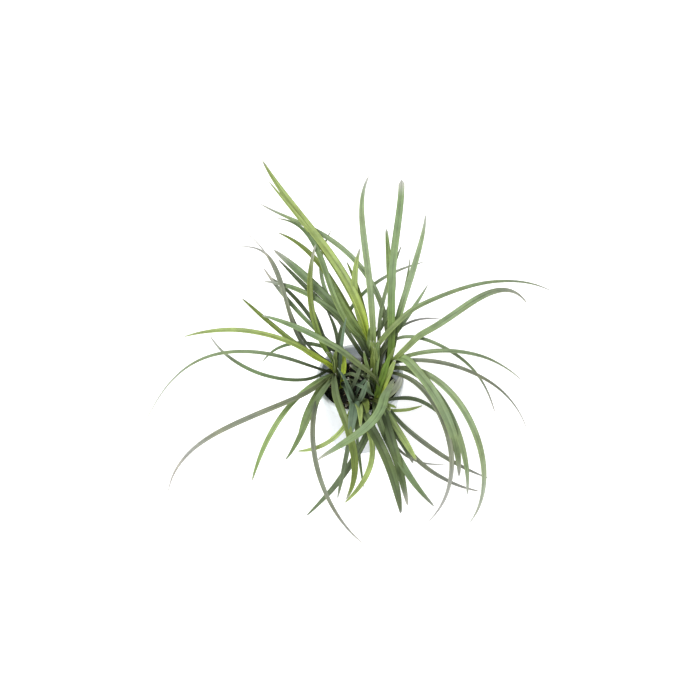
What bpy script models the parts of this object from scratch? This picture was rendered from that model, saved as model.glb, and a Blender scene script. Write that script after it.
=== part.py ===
"""A small clump of dwarf mondo grass in a round plastic pot, in metres, +Z up.

The origin is the centre of the pot's foot. Five crowns stand in holes in the soil, and each crown
carries its own strap-like leaves, which arch outwards over the rim.
"""
import math

import bmesh
import bpy
import numpy as np

MM = 0.001
MERGE = 0.00001

# Pot: a thin moulded cup with a turned-out band at the rim
RIM_DIAMETER = 0.0515
POT_HEIGHT = 0.050
BASE_DIAMETER = 0.039
WALL = 0.0012
FLOOR = 0.0014
BAND_HEIGHT = 0.0065
BAND_PROUD = 0.0010
FOOT_ROUND = 0.0012
DRAIN_DIAMETER = 0.005
DRAIN_CIRCLE = 0.024
DRAIN_COUNT = 4
TURN_STEPS = 36

# Soil: fills the pot to a little below the rim
GAP = 0.0003
SOIL_TOP = 0.045
SOIL_DOME = 0.0012
SOIL_RELIEF = 0.0006
SOIL_RINGS = 6
# Radians of relief for each metre across the soil
SOIL_WAVE_X = 900.0
SOIL_WAVE_Y = 1100.0
SOIL_WAVE_SKEW = 300.0

# Crowns: the sheaths of one tuft, wrapped round each other
HOLE_RADIUS = 0.0045
HOLE_DEPTH = 0.006
SHEATH_RADIUS = HOLE_RADIUS - GAP
SHEATH_NECK = 0.55
SHEATH_ROUNDING = 2

# Cutters
CUTTER_SIDES = 16
CUTTER_OVERRUN = 0.01

# Leaves: straps with a keel below and a shallow channel above
LEAF_THICKNESS = 0.0009
TIP_THICKNESS = 0.0006
CHANNEL_SHARE = 0.12
POINTED_TIP = 0.22
CUT_TIP = 0.80
BASE_WIDTH = 0.80
WIDEST_AT = 0.35
TAPER_FROM = 0.62
TAPER_POWER = 1.6
STEEP_TURN = 0.35
STATION_LENGTH = 0.010
FEWEST_STATIONS = 6
MOST_STATIONS = 14
LOW_LEAF_SHARE = 0.45
HIGH_LEAF_SHARE = 0.90
HIGH_TIP = 0.110

# Young leaves at the middle of each crown
YOUNG_LEAVES = 4
YOUNG_SHORTEST = 0.009
YOUNG_LONGEST = 0.016
YOUNG_SPREAD = 0.22
YOUNG_BOW = 0.3
YOUNG_WIDTH = 0.0028
GOLDEN_ANGLE = math.radians(137.5)
SEED = 7

# Each crown's foot on the soil (x, y) and the top of its sheaths (x, y, z), in millimetres
CROWNS = {
    "tuft_left": ((-13, 2), (-15, 3, 59)),
    "tuft_back": ((4, 11), (6, 15, 66)),
    "tuft_centre": ((11, -2), (9, 2, 70)),
    "tuft_right": ((8, -13), (14, -27, 61)),
    "tuft_front": ((-5, -13), (-2, -32, 62)),
}


def leaf(width, *points, tip=POINTED_TIP):
    """One leaf: its width and the points that its keel passes through to its tip, in millimetres."""
    return width * MM, [tuple(value * MM for value in point) for point in points], tip


LEAVES = {
    "tuft_left": (
        leaf(3.3, (-29, 33, 82), (-26, 60, 100)),
        leaf(2.4, (-43, 36, 76), (-57, 68, 84), (-75, 75, 80)),
        leaf(1.8, (-40, 40, 92), (-70, 80, 90)),
        leaf(3.4, (-39, 11, 70), (-61, 29, 72)),
        leaf(3.3, (-39, 8, 72), (-69, 13, 78), (-88, 17, 72), (-104, 26, 56)),
        leaf(2.4, (-32, -9, 60), (-58, -9, 66), (-87, 14, 72)),
        leaf(2.8, (-28, -5, 68), (-65, -4, 80), (-105, -3, 58), (-128, -5, 16)),
        leaf(3.2, (-67, -38, 60), (-97, -45, 40), (-112, -56, 12)),
        leaf(3.0, (-44, -32, 58), (-62, -59, 30)),
        leaf(3.6, (-32, -27, 54), (-43, -45, 34)),
        leaf(3.2, (-28, -22, 55), (-36, -39, 40)),
        leaf(2.8, (-27, -45, 53), (-18, -74, 34), (3, -92, 14)),
        leaf(4.2, (-11, -32, 60), (-5, -52, 50), (-8, -70, 30)),
        leaf(2.2, (1, 48, 68), (38, 62, 82)),
        leaf(2.4, (-28, 35, 60), (-41, 53, 63), (-55, 68, 62)),
        leaf(3.2, (-22, 33, 56), (-29, 55, 57)),
        leaf(2.2, (-14, 30, 54), (-20, 48, 54)),
    ),
    "tuft_back": (
        leaf(5.0, (0, 28, 81), (-17, 56, 94), (-58, 109, 120)),
        leaf(3.0, (-19, 57, 84), (-54, 99, 112)),
        leaf(3.4, (-22, 50, 95), (-35, 75, 98), (-49, 84, 96)),
        leaf(3.2, (-17, 50, 82), (-49, 80, 88)),
        leaf(2.2, (-23, 59, 86), (-17, 80, 90)),
        leaf(4.8, (-17, 34, 78), (-51, 68, 86)),
        leaf(3.4, (-22, 41, 68), (-49, 71, 74)),
        leaf(2.6, (-32, 25, 68), (-58, 68, 70)),
        leaf(3.2, (-22, 32, 80), (-57, 57, 70)),
        leaf(2.8, (-27, 17, 60), (-46, 21, 53), (-58, 18, 42)),
        leaf(4.0, (-11, 32, 80), (-25, 58, 95)),
        leaf(4.2, (-3, 36, 84), (0, 50, 108)),
        leaf(2.4, (-1, 38, 84), (-8, 47, 100)),
        leaf(2.8, (13, 32, 77), (17, 52, 103)),
        leaf(3.0, (4, 41, 105), (1, 63, 120), (5, 88, 128)),
    ),
    "tuft_centre": (
        leaf(3.2, (2, 45, 89), (-29, 77, 95), (-60, 97, 95)),
        leaf(4.0, (-6, -3, 75), (-32, 11, 80), (-55, 22, 79), (-71, 47, 66)),
        leaf(4.8, (17, -32, 78), (0, -57, 74), (-22, -61, 53)),
        leaf(3.2, (38, -22, 64), (52, -53, 42), (38, -76, 12)),
        leaf(4.8, (26, -6, 76), (50, -37, 58), (57, -53, 26)),
        leaf(3.6, (32, -11, 68), (52, -34, 57), (61, -67, 28)),
        leaf(3.8, (49, -23, 70), (70, -60, 42), (62, -77, 12)),
        leaf(3.4, (31, 18, 90), (70, 37, 91), (114, 57, 62)),
        leaf(4.0, (35, 9, 80), (62, 27, 84), (84, 42, 80), (99, 44, 66)),
        leaf(2.4, (25, 17, 80), (39, 31, 98)),
        leaf(1.8, (28, 20, 76), (47, 24, 74)),
        leaf(2.6, (25, 10, 76), (48, 3, 75), (70, -5, 55), (79, -14, 36)),
        leaf(3.2, (47, -2, 78), (95, 5, 42)),
        leaf(3.2, (30, -4, 72), (57, -8, 70), (82, -13, 54), (98, -18, 26)),
        leaf(4.2, (18, 27, 92), (20, 48, 112), (24, 83, 130), tip=CUT_TIP),
        leaf(2.8, (15, 33, 93), (15, 56, 118)),
        leaf(2.4, (19, 33, 87), (24, 54, 106)),
        leaf(3.8, (29, 35, 97), (38, 67, 118)),
        leaf(1.8, (24, 31, 80), (29, 50, 100)),
    ),
    "tuft_right": (
        leaf(3.2, (-5, -51, 38), (-31, -71, 12)),
        leaf(3.6, (18, -50, 56), (27, -72, 25)),
        leaf(3.4, (22, -58, 50), (42, -72, 24)),
        leaf(3.8, (21, -41, 56), (32, -54, 44)),
        leaf(2.8, (29, -50, 44), (69, -54, 12)),
        leaf(3.2, (39, -43, 42), (75, -49, 18)),
        leaf(1.8, (28, -47, 36), (50, -47, 30)),
        leaf(2.8, (28, -17, 53), (48, -20, 38)),
        leaf(2.2, (24, -29, 55), (36, -20, 50)),
    ),
    "tuft_front": (
        leaf(2.6, (-17, -45, 50), (-36, -45, 40)),
        leaf(2.6, (-8, -51, 43), (-13, -71, 30)),
        leaf(3.0, (7, -47, 44), (-9, -66, 18)),
        leaf(1.8, (-1, -42, 36), (2, -58, 22)),
        leaf(4.6, (14, -61, 57), (23, -77, 24)),
        leaf(3.0, (-7, -19, 66), (-13, -14, 78)),
        leaf(3.0, (3, -19, 64), (4, -17, 70)),
    ),
}


def clear_scene():
    for item in list(bpy.data.objects):
        bpy.data.objects.remove(item, do_unlink=True)


def new_collection(name):
    collection = bpy.data.collections.new(name)
    bpy.context.scene.collection.children.link(collection)
    return collection


def material(name, colour, roughness):
    result = bpy.data.materials.new(name)
    result.use_nodes = True
    shader = result.node_tree.nodes["Principled BSDF"]
    shader.inputs["Base Color"].default_value = (*colour, 1.0)
    shader.inputs["Roughness"].default_value = roughness
    shader.inputs["Metallic"].default_value = 0.0
    return result


def add_object(name, mesh, collection, finish=None):
    result = bpy.data.objects.new(name, mesh)
    collection.objects.link(result)
    if finish is not None:
        mesh.materials.append(finish)
    return result


def turned(name, profile, collection, finish):
    """A profile of (radius, height) points, turned about Z; its outer side runs top to bottom."""
    mesh = bpy.data.meshes.new(name)
    points = [(radius, 0.0, height) for radius, height in profile]
    mesh.from_pydata(points, [(i, i + 1) for i in range(len(points) - 1)], [])
    result = add_object(name, mesh, collection, finish)
    screw = result.modifiers.new("Turn", "SCREW")
    screw.steps = TURN_STEPS
    screw.render_steps = TURN_STEPS
    screw.use_merge_vertices = True
    screw.merge_threshold = 0.0001
    screw.use_smooth_shade = True
    return result


def made_mesh(item):
    """The object's evaluated mesh takes the place of its modifiers."""
    graph = bpy.context.evaluated_depsgraph_get()
    mesh = bpy.data.meshes.new_from_object(item.evaluated_get(graph))
    item.modifiers.clear()
    item.data = mesh


def post_cutter(name, radius, low, high, place, collection):
    """An upright cylinder from low to high, kept out of the model."""
    mesh = bpy.data.meshes.new(name)
    shape = bmesh.new()
    bmesh.ops.create_cone(shape, cap_ends=True, segments=CUTTER_SIDES, radius1=radius,
                          radius2=radius, depth=high - low)
    shape.to_mesh(mesh)
    shape.free()
    result = add_object(name, mesh, collection)
    result.location = (place[0], place[1], (low + high) / 2)
    result.hide_render = True
    result.display_type = "WIRE"
    return result


def cut(item, cutter):
    boolean = item.modifiers.new(cutter.name, "BOOLEAN")
    boolean.operation = "DIFFERENCE"
    boolean.solver = "EXACT"
    boolean.object = cutter


def inner_radius(height):
    """Inside radius of the pot's wall at a height above the foot."""
    outer_top = RIM_DIAMETER / 2 - BAND_PROUD
    outer = BASE_DIAMETER / 2 + (outer_top - BASE_DIAMETER / 2) * height / POT_HEIGHT
    return outer - WALL


def make_pot(parts, cutters):
    outer_base = BASE_DIAMETER / 2
    band = RIM_DIAMETER / 2
    band_foot = POT_HEIGHT - BAND_HEIGHT
    lip = WALL / 3
    profile = (
        (0.0, FLOOR),
        (inner_radius(FLOOR), FLOOR),
        (inner_radius(POT_HEIGHT - lip), POT_HEIGHT - lip),
        (inner_radius(POT_HEIGHT) + lip, POT_HEIGHT),
        (band - lip, POT_HEIGHT),
        (band, POT_HEIGHT - lip),
        (band - lip / 2, band_foot + lip),
        (band - lip, band_foot),
        (inner_radius(band_foot) + WALL, band_foot - lip),
        (outer_base + lip / 2, FOOT_ROUND),
        (outer_base - FOOT_ROUND / 3, FOOT_ROUND / 3),
        (outer_base - FOOT_ROUND, 0.0),
        (0.0, 0.0),
    )
    pot = turned("pot", profile, parts, material("white plastic", (0.82, 0.84, 0.86), 0.35))
    for index in range(DRAIN_COUNT):
        angle = math.tau * (index + 0.5) / DRAIN_COUNT
        place = (DRAIN_CIRCLE / 2 * math.cos(angle), DRAIN_CIRCLE / 2 * math.sin(angle))
        cut(pot, post_cutter(f"drain_{index + 1}", DRAIN_DIAMETER / 2, -FLOOR, 2 * FLOOR, place, cutters))


def make_soil(parts, cutters):
    low = FLOOR + GAP
    top_radius = inner_radius(SOIL_TOP) - GAP
    rings = [top_radius * index / SOIL_RINGS for index in range(SOIL_RINGS + 1)]
    profile = [(radius, SOIL_TOP + SOIL_DOME * (1 - (radius / top_radius) ** 2)) for radius in rings]
    profile += [(inner_radius(low) - GAP, low), (0.0, low)]
    soil = turned("soil", profile, parts, material("moist soil", (0.045, 0.032, 0.022), 0.95))
    made_mesh(soil)
    for vertex in soil.data.vertices:
        x, y, z = vertex.co
        if z > SOIL_TOP + SOIL_DOME / 100:
            wave = math.sin(x * SOIL_WAVE_X) * math.cos(y * SOIL_WAVE_Y + x * SOIL_WAVE_SKEW)
            vertex.co.z += SOIL_RELIEF * wave
    for name, (foot, _) in CROWNS.items():
        place = (foot[0] * MM, foot[1] * MM)
        floor = SOIL_TOP - HOLE_DEPTH
        mouth = SOIL_TOP + CUTTER_OVERRUN
        cut(soil, post_cutter(f"hole_{name}", HOLE_RADIUS, floor, mouth, place, cutters))


def centre_line(points, count):
    """Points along the one polynomial through all the given points.

    Its parameter at each given point is that point's share of the summed chords, and each given point
    is weighted by the product of (t - knot) / (own knot - knot) over the other knots.
    """
    points = np.array(points)
    chords = np.linalg.norm(np.diff(points, axis=0), axis=1)
    knots = np.concatenate(((0.0,), np.cumsum(chords))) / chords.sum()
    steps = np.linspace(0.0, 1.0, count)
    line = np.zeros((count, 3))
    for own, point in enumerate(points):
        weight = np.ones(count)
        for other, knot in enumerate(knots):
            if other != own:
                weight *= (steps - knot) / (knots[own] - knot)
        line += weight[:, None] * point
    return line


def unit(vectors):
    return vectors / np.linalg.norm(vectors, axis=-1, keepdims=True)


def blade_frame(line):
    """Side and face directions along a centre line; the face looks up, and outwards where it is steep."""
    up = np.array((0.0, 0.0, 1.0))
    along = unit(np.gradient(line, axis=0))
    heading = line[-1] - line[0]
    heading[2] = 0.0
    across = np.cross(up, unit(heading))
    side = np.cross(up, along) + STEEP_TURN * across
    side = unit(side - along * np.sum(side * along, axis=1, keepdims=True))
    return side, np.cross(along, side)


def blade_width(share, width, tip):
    """A little narrower at the root, widest at a third, tapering over the last part to the tip."""
    grow = BASE_WIDTH + (1 - BASE_WIDTH) * np.minimum(1.0, share / WIDEST_AT)
    run = np.clip((share - TAPER_FROM) / (1 - TAPER_FROM), 0.0, 1.0)
    return width * grow * (1 - (1 - tip) * run ** TAPER_POWER)


def make_blade(name, points, width, tip, collection):
    """A strap lofted through four-sided sections: two edges, a channel above and a keel below."""
    length = float(np.linalg.norm(np.diff(np.array(points), axis=0), axis=1).sum())
    count = max(FEWEST_STATIONS, min(MOST_STATIONS, round(length / STATION_LENGTH) + 1))
    line = centre_line(points, count)
    side, face = blade_frame(line)
    share = np.linspace(0.0, 1.0, count)
    half = blade_width(share, width, tip)[:, None] / 2
    thick = (LEAF_THICKNESS + (TIP_THICKNESS - LEAF_THICKNESS) * share)[:, None]
    lift = 2 * half * CHANNEL_SHARE
    ring = np.stack((line - side * half + face * lift, line - face * thick,
                     line + side * half + face * lift, line), axis=1)
    faces = [(3, 2, 1, 0), tuple(4 * (count - 1) + corner for corner in range(4))]
    for station in range(count - 1):
        for corner in range(4):
            beside = (corner + 1) % 4
            low = 4 * station
            faces.append((low + corner, low + beside, low + 4 + beside, low + 4 + corner))
    mesh = bpy.data.meshes.new(name)
    mesh.from_pydata(ring.reshape(-1, 3).tolist(), [], faces)
    return add_object(name, mesh, collection)


def make_sheath(name, foot, crown, collection, finish):
    """The wrapped sheaths of one crown: upright in the hole, then leaning and narrowing to the crown."""
    curve = bpy.data.curves.new(name, "CURVE")
    curve.dimensions = "3D"
    curve.bevel_depth = SHEATH_RADIUS
    curve.bevel_resolution = SHEATH_ROUNDING
    curve.use_fill_caps = True
    path = (
        (foot[0], foot[1], SOIL_TOP - HOLE_DEPTH + GAP, 1.0),
        (foot[0], foot[1], SOIL_TOP + SOIL_DOME + SOIL_RELIEF, 1.0),
        (*crown, SHEATH_NECK),
    )
    spline = curve.splines.new("POLY")
    spline.points.add(len(path) - 1)
    for point, (x, y, z, radius) in zip(spline.points, path):
        point.co = (x, y, z, 1.0)
        point.radius = radius
    guide = bpy.data.objects.new(name + "_guide", curve)
    collection.objects.link(guide)
    graph = bpy.context.evaluated_depsgraph_get()
    mesh = bpy.data.meshes.new_from_object(guide.evaluated_get(graph))
    bpy.data.objects.remove(guide, do_unlink=True)
    shape = bmesh.new()
    shape.from_mesh(mesh)
    bmesh.ops.remove_doubles(shape, verts=shape.verts, dist=MERGE)
    shape.to_mesh(mesh)
    shape.free()
    return add_object(name, mesh, collection, finish)


def on_sheath(foot, crown, share):
    """A point on the axis of a crown's sheaths, from the soil (0) to the crown (1)."""
    low = np.array((foot[0], foot[1], SOIL_TOP))
    return low + (np.array(crown) - low) * share


def leaf_root(foot, crown, tip):
    """Leaves with low tips are the outer, older ones, and leave the sheaths lower."""
    span = HIGH_LEAF_SHARE - LOW_LEAF_SHARE
    return on_sheath(foot, crown, LOW_LEAF_SHARE + span * min(1.0, tip[2] / HIGH_TIP))


def young_leaves(foot, crown, draw):
    """Short leaves that carry on along the sheaths' axis, each leaning a little to its own side."""
    axis = unit(np.array(crown) - on_sheath(foot, crown, 0.0))
    start = draw.uniform(0.0, math.tau)
    for index in range(YOUNG_LEAVES):
        turn = start + index * GOLDEN_ANGLE
        out = np.array((math.cos(turn), math.sin(turn), 0.0))
        length = draw.uniform(YOUNG_SHORTEST, YOUNG_LONGEST)
        root = on_sheath(foot, crown, HIGH_LEAF_SHARE)
        end = root + axis * length + out * length * YOUNG_SPREAD
        middle = root + axis * length / 2 + out * length * YOUNG_SPREAD * YOUNG_BOW
        yield YOUNG_WIDTH, [tuple(middle), tuple(end)]


def keep_outer_body(mesh):
    """Keep the largest connected body: a hollow sealed between blades is filled by leaving its wall out."""
    shape = bmesh.new()
    shape.from_mesh(mesh)
    unseen = set(shape.verts)
    bodies = []
    while unseen:
        edge = [unseen.pop()]
        body = set(edge)
        while edge:
            vertex = edge.pop()
            for link in vertex.link_edges:
                other = link.other_vert(vertex)
                if other in unseen:
                    unseen.discard(other)
                    body.add(other)
                    edge.append(other)
        bodies.append(body)
    bodies.sort(key=len, reverse=True)
    for body in bodies[1:]:
        bmesh.ops.delete(shape, geom=list(body), context="VERTS")
    shape.to_mesh(mesh)
    shape.free()


def make_tuft(name, parts, colour, draw):
    foot = tuple(value * MM for value in CROWNS[name][0])
    crown = tuple(value * MM for value in CROWNS[name][1])
    sheath = make_sheath(name, foot, crown, parts, material(f"{name} green", colour, 0.45))
    blades = new_collection(name + "_blades")
    grown = list(LEAVES[name])
    grown += [(width, points, POINTED_TIP) for width, points in young_leaves(foot, crown, draw)]
    for index, (width, points, tip) in enumerate(grown):
        root = leaf_root(foot, crown, points[-1])
        make_blade(f"{name}_{index}", [tuple(root), *points], width, tip, blades)
    join = sheath.modifiers.new("Join", "BOOLEAN")
    join.operation = "UNION"
    join.operand_type = "COLLECTION"
    join.solver = "MANIFOLD"
    join.collection = blades
    made_mesh(sheath)
    keep_outer_body(sheath.data)
    for blade in list(blades.objects):
        bpy.data.objects.remove(blade, do_unlink=True)
    bpy.data.collections.remove(blades)


def main():
    clear_scene()
    parts = new_collection("potted dwarf mondo grass")
    cutters = new_collection("cutters")
    draw = np.random.default_rng(SEED)
    make_pot(parts, cutters)
    make_soil(parts, cutters)
    greens = {
        "tuft_left": (0.16, 0.26, 0.09),
        "tuft_back": (0.11, 0.20, 0.09),
        "tuft_centre": (0.19, 0.31, 0.08),
        "tuft_right": (0.14, 0.24, 0.10),
        "tuft_front": (0.21, 0.33, 0.08),
    }
    for name, colour in greens.items():
        make_tuft(name, parts, colour, draw)


main()
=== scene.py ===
"""Dresses the fixed frame of a small potted dwarf mondo grass: its pot, soil, leaves and a plain stage.

All sizes are in metres and +Z is up. The origin is the centre of the pot's foot.
"""
import math

import bmesh
import bpy
import numpy as np
from bpy.props import FloatProperty, FloatVectorProperty, IntProperty, PointerProperty
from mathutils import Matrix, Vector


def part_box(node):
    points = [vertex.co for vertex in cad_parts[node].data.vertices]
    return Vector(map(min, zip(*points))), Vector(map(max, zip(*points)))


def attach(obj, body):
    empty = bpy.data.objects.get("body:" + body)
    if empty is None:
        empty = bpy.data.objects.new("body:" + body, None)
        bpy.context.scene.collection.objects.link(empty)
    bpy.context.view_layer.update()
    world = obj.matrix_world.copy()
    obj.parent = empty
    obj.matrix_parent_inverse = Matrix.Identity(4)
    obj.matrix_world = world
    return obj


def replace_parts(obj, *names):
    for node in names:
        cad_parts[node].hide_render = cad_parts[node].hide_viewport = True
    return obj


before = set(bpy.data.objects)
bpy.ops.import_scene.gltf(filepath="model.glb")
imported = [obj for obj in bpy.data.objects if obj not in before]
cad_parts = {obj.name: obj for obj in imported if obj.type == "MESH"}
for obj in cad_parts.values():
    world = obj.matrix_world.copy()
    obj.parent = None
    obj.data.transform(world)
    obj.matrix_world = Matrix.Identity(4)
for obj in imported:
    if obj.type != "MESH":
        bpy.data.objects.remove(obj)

bl_info = {
    "name": "Potted dwarf mondo grass",
    "version": (1, 0, 0),
    "blender": (4, 5, 0),
    "location": "3D View > Sidebar > Mondo grass",
    "description": "Builds the pot, soil and arching strap leaves of a small dwarf mondo grass",
    "category": "Object",
}

BODY = "root"
MM = 0.001
SEED = 7

# Directions: upwards, the factors that lay a direction level, and what keeps its length above zero
UP = np.array((0.0, 0.0, 1.0))
LEVEL = np.array((1.0, 1.0, 0.0))
TINY = 1e-6
GOLDEN_ANGLE = math.radians(137.5)

_, (POT_RADIUS, _, POT_HEIGHT) = (map(float, corner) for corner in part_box("pot"))
(_, _, SOIL_FOOT), (SOIL_RADIUS, _, SOIL_PEAK) = (map(float, corner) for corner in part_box("soil"))

# The pot: its wall's thickness, the radius of its rounded edges, how many lip radii the band's lower
# round is set in, a hair's breadth that two corners stand out by, the share of the foot's radius that
# the fans in its middle cover, the levels of the wall's sections, the drain holes and the stain inside
WALL = 0.0012
EDGE_ROUND = 0.0010
BAND_TUCK = 1.4
HAIR = 0.0001
FLAT_SHARE = 0.6
INNER_LEVELS = (0.010, 0.020, 0.030, 0.040)
OUTER_LEVELS = (0.036, 0.024, 0.012, 0.004)
DRAIN_HOLES = 4
DRAIN_RADIUS = 0.0025
DRAIN_PLACE = 0.012
STAIN_TOP = 0.040
STAIN_EDGE = 0.004

# The soil: its gap to the wall, its level, the sides and rows of its surface, the height of its straight
# edge, its mound, the share of its radius from which it slumps, and the rise that rings each crown's foot
GAP = 0.0003
SOIL_TOP = 0.045
SOIL_SIDES = 140
SOIL_ROWS = 60
SOIL_EDGE = 0.003
MOUND = 0.0010
SLUMP_FROM = 0.5
CROWN_RISE = 0.0006
RISE_RADIUS = 0.004
RISE_WIDTH = 0.0025

# The crumbs' margin to the wall, their sizes as shares of a middling crumb, their dents and stretches
CRUMB_MARGIN = 0.003
CRUMB_SIZES = (0.45, 1.5)
CRUMB_DENT = 0.28
CRUMB_STRETCH = (0.6, 1.3)

# The fibres' margin to the wall, their lengths, their bow as a share of the length, their height over the
# soil, half width, flatness, the steps along them and the roundness of their blunt ends
FIBRE_MARGIN = 0.005
FIBRE_LENGTHS = (0.003, 0.007)
FIBRE_BOW = 0.4
FIBRE_LIFT = 0.0005
FIBRE_HALF = 0.00022
FIBRE_FLATNESS = 0.6
FIBRE_STEPS = 9
BLUNT_ENDS = 1.02

# The sheaths: the depth of their hole, the share of it that they fill, their radius, the share of it left
# at the neck, their rows and sides, the share of the way to the crown that they reach, their core and
# folds, the share up to which they are husk brown, where leaves with low and high tips leave them as
# shares of the axis, and the height of a high tip
HOLE_DEPTH = 0.006
PLUG_SHARE = 0.8
SHEATH_RADIUS = 0.0042
SHEATH_NECK = 0.55
SHEATH_ROWS = 24
SHEATH_SIDES = 32
SHEATH_REACH = 0.9
SHEATH_CORE = 0.50
FOLD_DEPTH = 0.08
FOLDS = 5
HUSK_SHARE = 0.6
LOW_LEAF_SHARE = 0.45
HIGH_LEAF_SHARE = 0.90
HIGH_TIP = 0.110

# A leaf's way up beside the sheaths: how far below the soil it starts as a share of the axis, how far out
# a low leaf is set as a share of their radius, what a high leaf loses of that, the share of it at the
# foot, the share of the blade along which it fades out, the most of a leaf that is wrapped, the radius of
# softened corners, and the points along the way, the blade and the whole line
BURIED = 0.20
LOW_LEAF_SHIFT = 0.85
SHIFT_LOSS = 0.45
FOOT_SHIFT = 0.55
SHIFT_END = 0.25
MOST_WRAPPED = 0.8
CORNER = 0.003
CLIMB_POINTS = 30
CURVE_POINTS = 150
LINE_POINTS = 300

# A blade: the points of its section from one margin (-1) to the other (1), the roundness of its keel,
# its turn outwards where it is steep, its twist, how its half width grows, narrows and closes along it,
# how it opens from the sheath, the slow wave of its margins, its kinds of tip, and its tints
ACROSS = np.array((-1.0, -0.82, -0.55, -0.25, 0.0, 0.25, 0.55, 0.82, 1.0))
KEEL_ROUND = 0.10
STEEP_TURN = 0.35
TWIST_RATE = 1.2
HALF_WIDTH = 0.56
WIDEST_FROM = 0.30
NARROWING = 2.2
CLOSING_FROM = 0.985
CLOSED = 0.8
UNWRAPPED_FROM = 0.20
WRAPPED_HALF = 0.0019
WAVE = 0.05
WAVE_RATE = 23.0
WAVE_START = 9000.0
POINTED_TIP = 0.22
CUT_TIP = 0.80
THIN_TIP = 0.08
SHORTEST_FADE = 0.02
BACK_TINT = 0.85
BACK_PALING = 0.03
FADE_STRENGTHS = (0.6, 1.0)
BRIGHTNESSES = (0.88, 1.12)

# Young leaves, in metres and as shares of their length, and dry husk strips, in millimetres
YOUNG_LENGTHS = (0.009, 0.016)
YOUNG_SPREAD = 0.22
YOUNG_BOW = 0.3
YOUNG_WIDTH = 0.0028
HUSKS = 5
HUSK_LENGTHS = (6.0, 13.0)
HUSK_WIDTHS = (1.6, 3.2)
HUSK_SPREAD = (3.0, 5.0)
HUSK_FOOT = 2.4

# How far the stage's floor lies below the pot's foot
FLOOR_DROP = 0.0002

# Each crown's foot on the soil (x, y) and the top of its sheaths (x, y, z), in millimetres, its slot and
# how many young leaves it has
CROWNS = {
    "tuft_left": ((-13, 2), (-15, 3, 59), "leaf_mid", 4),
    "tuft_back": ((4, 11), (6, 15, 66), "leaf_dark", 4),
    "tuft_centre": ((11, -2), (9, 2, 70), "leaf_mid", 4),
    "tuft_right": ((8, -13), (14, -27, 61), "leaf_dark", 4),
    "tuft_front": ((-5, -13), (-2, -32, 62), "leaf_light", 0),
}

# The base tone "shade" is painted shade: leaf bases darkened where they lie deep in the crown
# For each tone of leaf: the tone of its base, and the share of the blade from which it fades
TONES = {"olive": ("olive", 0.93), "ash": ("shade", 0.65), "fresh": ("lime", 0.94),
         "sage": ("shade", 0.9), "grey": ("drab", 0.84), "mid": ("olive", 0.93), "deep": ("shade", 0.93),
         "dark": ("shade", 0.86), "lime": ("lime", 1.0), "teal": ("shade", 0.97), "moss": ("moss", 1.0),
         "husk": ("husk", 0.5)}

# For each tone of base: the share of the blade up to which it shows
REACHES = {"moss": 0.6, "shade": 0.6, "lime": 0.38, "drab": 0.45, "sage": 0.4, "dark": 0.5, "mid": 0.8,
           "olive": 0.38, "ash": 0.3, "grey": 0.3, "lilac": 0.38, "deep": 0.7, "husk": 0.3}


class Leaf:
    """One leaf: its tone, its width, the points that its keel passes through and how it starts and ends.

    Lengths are given in millimetres. The base names the tone of the part that wraps the crown, reach the
    share of the blade up to which it shows, fade the share from which the blade pales, taper the share
    from which it narrows, tip the share of its width that it ends with, and slim the share that it starts
    with. A leaf with low points follows them up from the soil instead of the crown's own sheaths.
    """

    def __init__(self, tone, width, *points, tip=POINTED_TIP, base=None, reach=None, fade=None,
                 taper=0.55, slim=0.8, low=()):
        self.tone = tone
        self.width = width * MM
        self.points = np.array(points) * MM
        self.tip = tip
        self.base = base or TONES[tone][0]
        self.reach = reach or REACHES[self.base]
        self.fade = TONES[tone][1] if fade is None else fade
        self.taper = taper
        self.slim = slim
        self.low = np.array(low) * MM


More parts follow.
